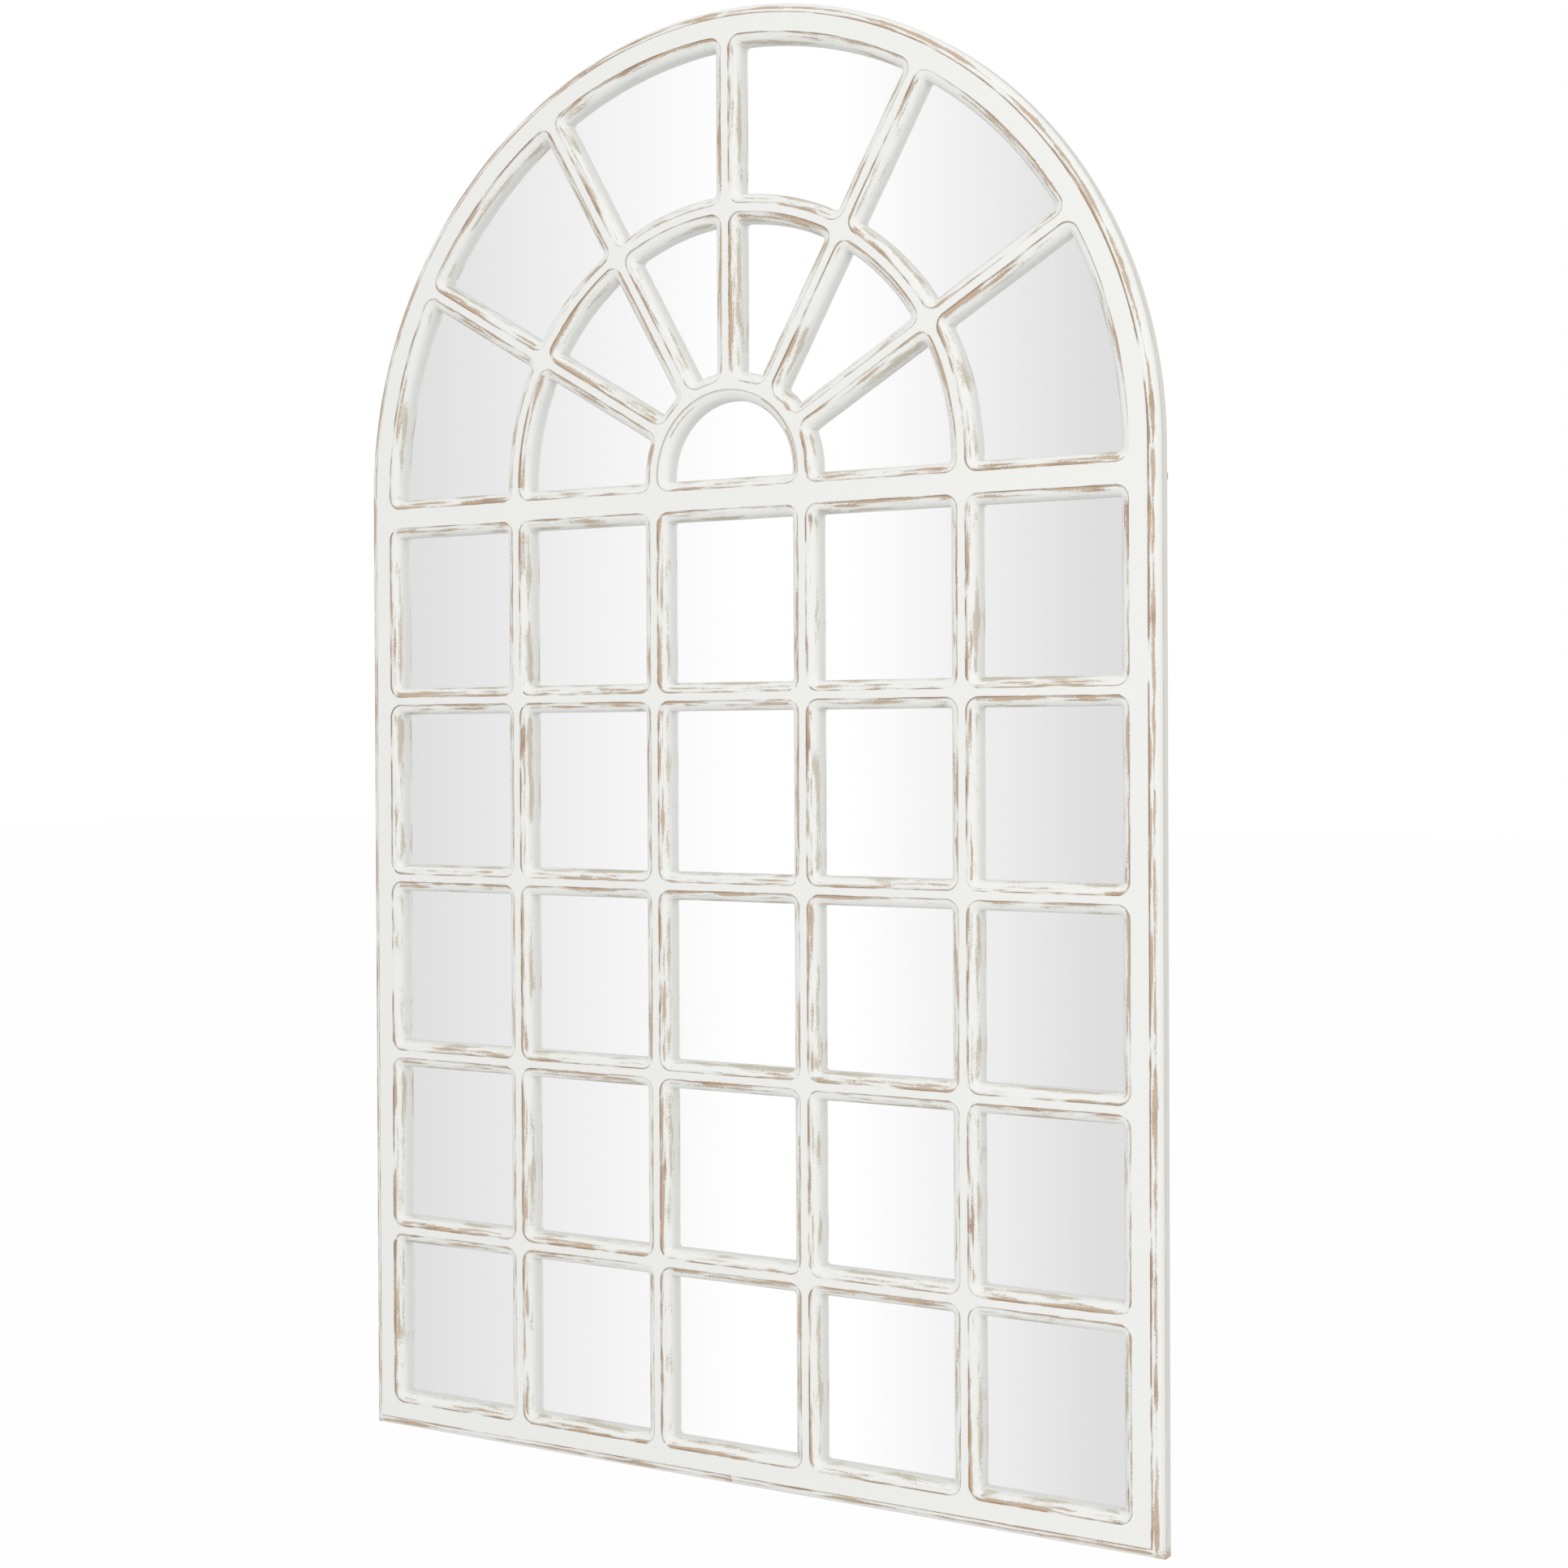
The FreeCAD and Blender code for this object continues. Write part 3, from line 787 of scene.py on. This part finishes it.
@dataclass
class CrossScrews:
    """The screws of one node with a cross recess cut in every head, in metres."""

    node: bpy.types.Object
    shelf: FinishShelf
    arm: float = 0.0032
    width: float = 0.0008
    depth: float = 0.0011
    turn: float = 0.5
    weld: float = 1e-6
    flat: float = 1e-5

    def build(self) -> None:
        """Cut the recesses in a copy that stands for the node."""
        shape = bmesh.new()
        shape.from_mesh(self.node.data)
        bmesh.ops.remove_doubles(shape, verts=shape.verts, dist=self.weld)
        heads = self.heads(shape)
        screws = self.piece(self.node.name + "_recessed", shape)
        cutter = self.piece(self.node.name + "_driver", self.driver(heads))
        cut = screws.modifiers.new("recess", "BOOLEAN")
        cut.operation = "DIFFERENCE"
        cut.solver = "EXACT"
        cut.object = cutter
        evaluated = screws.evaluated_get(bpy.context.evaluated_depsgraph_get())
        finished = bpy.data.meshes.new_from_object(evaluated)
        screws.modifiers.clear()
        screws.data = finished
        bpy.data.objects.remove(cutter)
        self.shelf.dress(screws, Finish.STEEL)
        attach(screws, "frame")
        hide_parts(self.node.name)

    def heads(self, shape: bmesh.types.BMesh) -> list[Vector]:
        """Find the middle of each screw's outer face.

        Args:
            shape: the screws, with their doubles merged.

        Returns:
            One point for each screw.
        """
        shape.verts.index_update()
        seen, found = set(), []
        for start in shape.verts:
            if start.index in seen:
                continue
            seen.add(start.index)
            island = [start]
            for vert in island:
                linked = [edge.other_vert(vert) for edge in vert.link_edges]
                fresh = [other for other in linked if other.index not in seen]
                seen.update(other.index for other in fresh)
                island += fresh
            back = max(vert.co.y for vert in island)
            rim = [vert.co for vert in island if back - vert.co.y < self.flat]
            middle_x = sum(co.x for co in rim) / len(rim)
            middle_z = sum(co.z for co in rim) / len(rim)
            found.append(Vector((middle_x, back, middle_z)))
        return found

    def driver(self, heads: list[Vector]) -> bmesh.types.BMesh:
        """Make the crosses that are cut out of the heads.

        Args:
            heads: the middle of each head's outer face.

        Returns:
            All the crosses.
        """
        shape = bmesh.new()
        for count, head in enumerate(heads):
            place = Matrix.Translation(head) @ Matrix.Rotation(self.turn * count, 4, "Y")
            box = bmesh.ops.create_cube(shape, size=1.0)["verts"]
            bmesh.ops.scale(shape, vec=(self.width, 2 * self.depth, self.width), verts=box)
            sides = {face for vert in box for face in vert.link_faces}
            walls = [face for face in sides if abs(face.calc_center_median().y) < self.depth / 2]
            walls.sort(key=self.order)
            moved = bmesh.ops.extrude_discrete_faces(shape, faces=walls)["faces"]
            for face in moved:
                way = face.calc_center_median().normalized()
                bmesh.ops.translate(shape, vec=way * (self.arm - self.width) / 2, verts=face.verts)
            whole = set(box) | {vert for face in moved for vert in face.verts}
            bmesh.ops.transform(shape, matrix=place, verts=list(whole))
        bmesh.ops.recalc_face_normals(shape, faces=shape.faces)
        return shape

    def order(self, face: bmesh.types.BMFace) -> tuple[float, ...]:
        """Sort faces by their middles, so that each run takes them in one order."""
        return tuple(round(value, 7) for value in face.calc_center_median())

    def piece(self, name: str, shape: bmesh.types.BMesh) -> bpy.types.Object:
        """Turn a mesh being built into an object.

        Args:
            name: the object's name.
            shape: its mesh, which is used up.

        Returns:
            The object.
        """
        mesh = bpy.data.meshes.new(name)
        shape.to_mesh(mesh)
        shape.free()
        piece = bpy.data.objects.new(name, mesh)
        bpy.context.scene.collection.objects.link(piece)
        return piece


@dataclass
class Fittings:
    """Clips, screws, hangers and wall pads on the back."""

    nodes: dict[str, bpy.types.Object]
    shelf: FinishShelf
    screws: tuple[str, ...] = ("strip_screws", "clip_screws", "hanger_screws")
    steel: tuple[str, ...] = ("retaining_clips", "hanger_strap_left", "hanger_strap_right",
                              "hanger_ring_left", "hanger_ring_right")

    def build(self) -> None:
        """Dress the fittings."""
        for name in self.screws:
            self.shelf.dress(self.nodes[name], Finish.STEEL)
            CrossScrews(self.nodes[name], self.shelf).build()
        for name in self.steel:
            self.shelf.dress(self.nodes[name], Finish.STEEL)
        self.shelf.dress(self.nodes["wall_pads"], Finish.RUBBER)


# ---------------------------------------------------------------- surroundings
@dataclass(frozen=True)
class Viewpoint:
    """The camera, worked out from the photograph's pane grid."""

    place: tuple[float, float, float] = (1.2111, -1.8830, 0.6517)
    yaw: float = -0.55263
    pitch: float = -0.00764
    roll: float = -0.00458
    focal_px: float = 3138.5
    centre_y: float = 937.9
    frame_px: float = 1932.0
    sensor_mm: float = 36.0
    far: float = 100.0

    def build(self) -> bpy.types.Object:
        """Make the camera.

        Returns:
            The camera object.
        """
        forward = Vector((math.sin(self.yaw) * math.cos(self.pitch),
                          math.cos(self.yaw) * math.cos(self.pitch), math.sin(self.pitch)))
        level = Vector((math.cos(self.yaw), -math.sin(self.yaw), 0))
        rise = level.cross(forward)
        right = level * math.cos(self.roll) + rise * math.sin(self.roll)
        up = rise * math.cos(self.roll) - level * math.sin(self.roll)
        data = bpy.data.cameras.new("viewpoint")
        data.sensor_width = self.sensor_mm
        data.lens = self.focal_px / self.frame_px * data.sensor_width
        data.shift_y = (self.centre_y - self.frame_px / 2) / self.frame_px
        data.clip_end = self.far
        camera = bpy.data.objects.new("viewpoint", data)
        turn = Matrix((right, up, -forward)).transposed().to_4x4()
        camera.matrix_world = Matrix.Translation(Vector(self.place)) @ turn
        bpy.context.scene.collection.objects.link(camera)
        bpy.context.scene.camera = camera
        return camera


@dataclass(frozen=True)
class Studio:
    """White surroundings, a soft lamp and a pale floor.

    The mirror shows a tone that is brightest straight behind the viewer, and
    falls off to each side by so much for each radian.
    """

    floor_height: float = -0.6
    floor_size: float = 30.0
    floor_white: float = 0.97
    front_light: float = 0.86
    rear_light: float = 0.6
    rear_from: float = -0.25
    rear_to: float = 0.35
    bright_turn: float = -0.55263
    brightest: float = 1.04
    dimmest: float = 0.765
    left_start: float = 0.018
    left_fall: float = 2.13
    right_start: float = 0.026
    right_fall: float = 2.85

    def build(self) -> None:
        """Make the world, lamp and floor."""
        self.world()
        self.floor()
        self.lamp("front_lamp", place=(2.4, -2.8, 1.9), aim=(0.0, 0.0, 0.7), size=2.4, power=36.0)

    def world(self) -> None:
        """Light from all round, and what the mirror shows."""
        world = bpy.data.worlds.new("studio")
        bpy.context.scene.world = world
        world.use_nodes = True
        s = Shade("world_helper")
        bpy.data.materials.remove(s.material)
        s.tree = world.node_tree
        s.tree.nodes.clear()
        s.out = s.tree.nodes.new("ShaderNodeOutputWorld")
        coords = s.node("ShaderNodeTexCoord")
        parts = s.node("ShaderNodeSeparateXYZ", i0=coords.outputs["Generated"])
        x, y = Val(s, parts.outputs[0]), Val(s, parts.outputs[1])
        turn = s.maths("ARCTAN2", x, -y)
        away = turn - self.bright_turn
        left = (-away - self.left_start).at_least(0.0)
        right = (away - self.right_start).at_least(0.0)
        tone = self.brightest - left * self.left_fall - right * self.right_fall
        tone = tone.at_least(self.dimmest)
        path = s.node("ShaderNodeLightPath")
        glossy = Val(s, path.outputs["Is Glossy Ray"])
        camera = Val(s, path.outputs["Is Camera Ray"])
        clear = Val(s, path.outputs["Is Transmission Ray"])
        rear = s.ramp(y, self.rear_from, self.rear_to)
        light = glossy.pick(tone, rear.pick(self.rear_light, self.front_light))
        level = camera.at_least(clear).pick(1.0, light)
        back = s.node("ShaderNodeBackground", None, Color=WHITE, Strength=level)
        s.tree.links.new(back.outputs[0], s.out.inputs[0])

    def floor(self) -> None:
        """Pale floor well below, as the mirror hangs."""
        mesh = bpy.data.meshes.new("floor")
        shape = bmesh.new()
        bmesh.ops.create_grid(shape, x_segments=1, y_segments=1, size=self.floor_size)
        shape.transform(Matrix.Translation((0, 0, self.floor_height)))
        shape.to_mesh(mesh)
        shape.free()
        floor = bpy.data.objects.new("floor", mesh)
        bpy.context.scene.collection.objects.link(floor)
        s = Shade("pale_floor")
        path = s.node("ShaderNodeLightPath")
        seen = Val(s, path.outputs["Is Camera Ray"])
        mirrored = Val(s, path.outputs["Is Glossy Ray"])
        matt = s.node("ShaderNodeBsdfDiffuse", None, Color=srgb(238, 238, 238))
        white = s.node("ShaderNodeEmission", None, Color=WHITE, Strength=1.0)
        bare = s.node("ShaderNodeBsdfTransparent")
        lit = s.node("ShaderNodeMixShader", None, i0=seen * self.floor_white,
                     i1=matt.outputs[0], i2=white.outputs[0])
        both = s.node("ShaderNodeMixShader", None, i0=mirrored, i1=lit.outputs[0],
                      i2=bare.outputs[0])
        s.tree.links.new(both.outputs[0], s.out.inputs[0])
        mesh.materials.append(s.material)

    def lamp(self, name: str, place: tuple, aim: tuple, size: float, power: float) -> None:
        """Add one soft lamp.

        Args:
            name: its name.
            place: where it stands.
            aim: what it points at.
            size: its width.
            power: its power in watts.
        """
        data = bpy.data.lights.new(name, "AREA")
        data.size = size
        data.energy = power
        lamp = bpy.data.objects.new(name, data)
        lamp.visible_glossy = False
        lamp.location = place
        lamp.rotation_euler = (Vector(aim) - Vector(place)).to_track_quat("-Z", "Y").to_euler()
        bpy.context.scene.collection.objects.link(lamp)


def main() -> None:
    """Build the scene."""
    logging.basicConfig(level=logging.INFO, format="%(message)s")
    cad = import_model()
    shelf = FinishShelf()
    Frame(cad["nodes"], shelf).build()
    Glazing(cad["nodes"], shelf).build()
    Fittings(cad["nodes"], shelf).build()
    Studio().build()
    Viewpoint().build()
    view = bpy.context.scene.view_settings
    view.view_transform = "Standard"


if __name__ == "__main__":
    main()
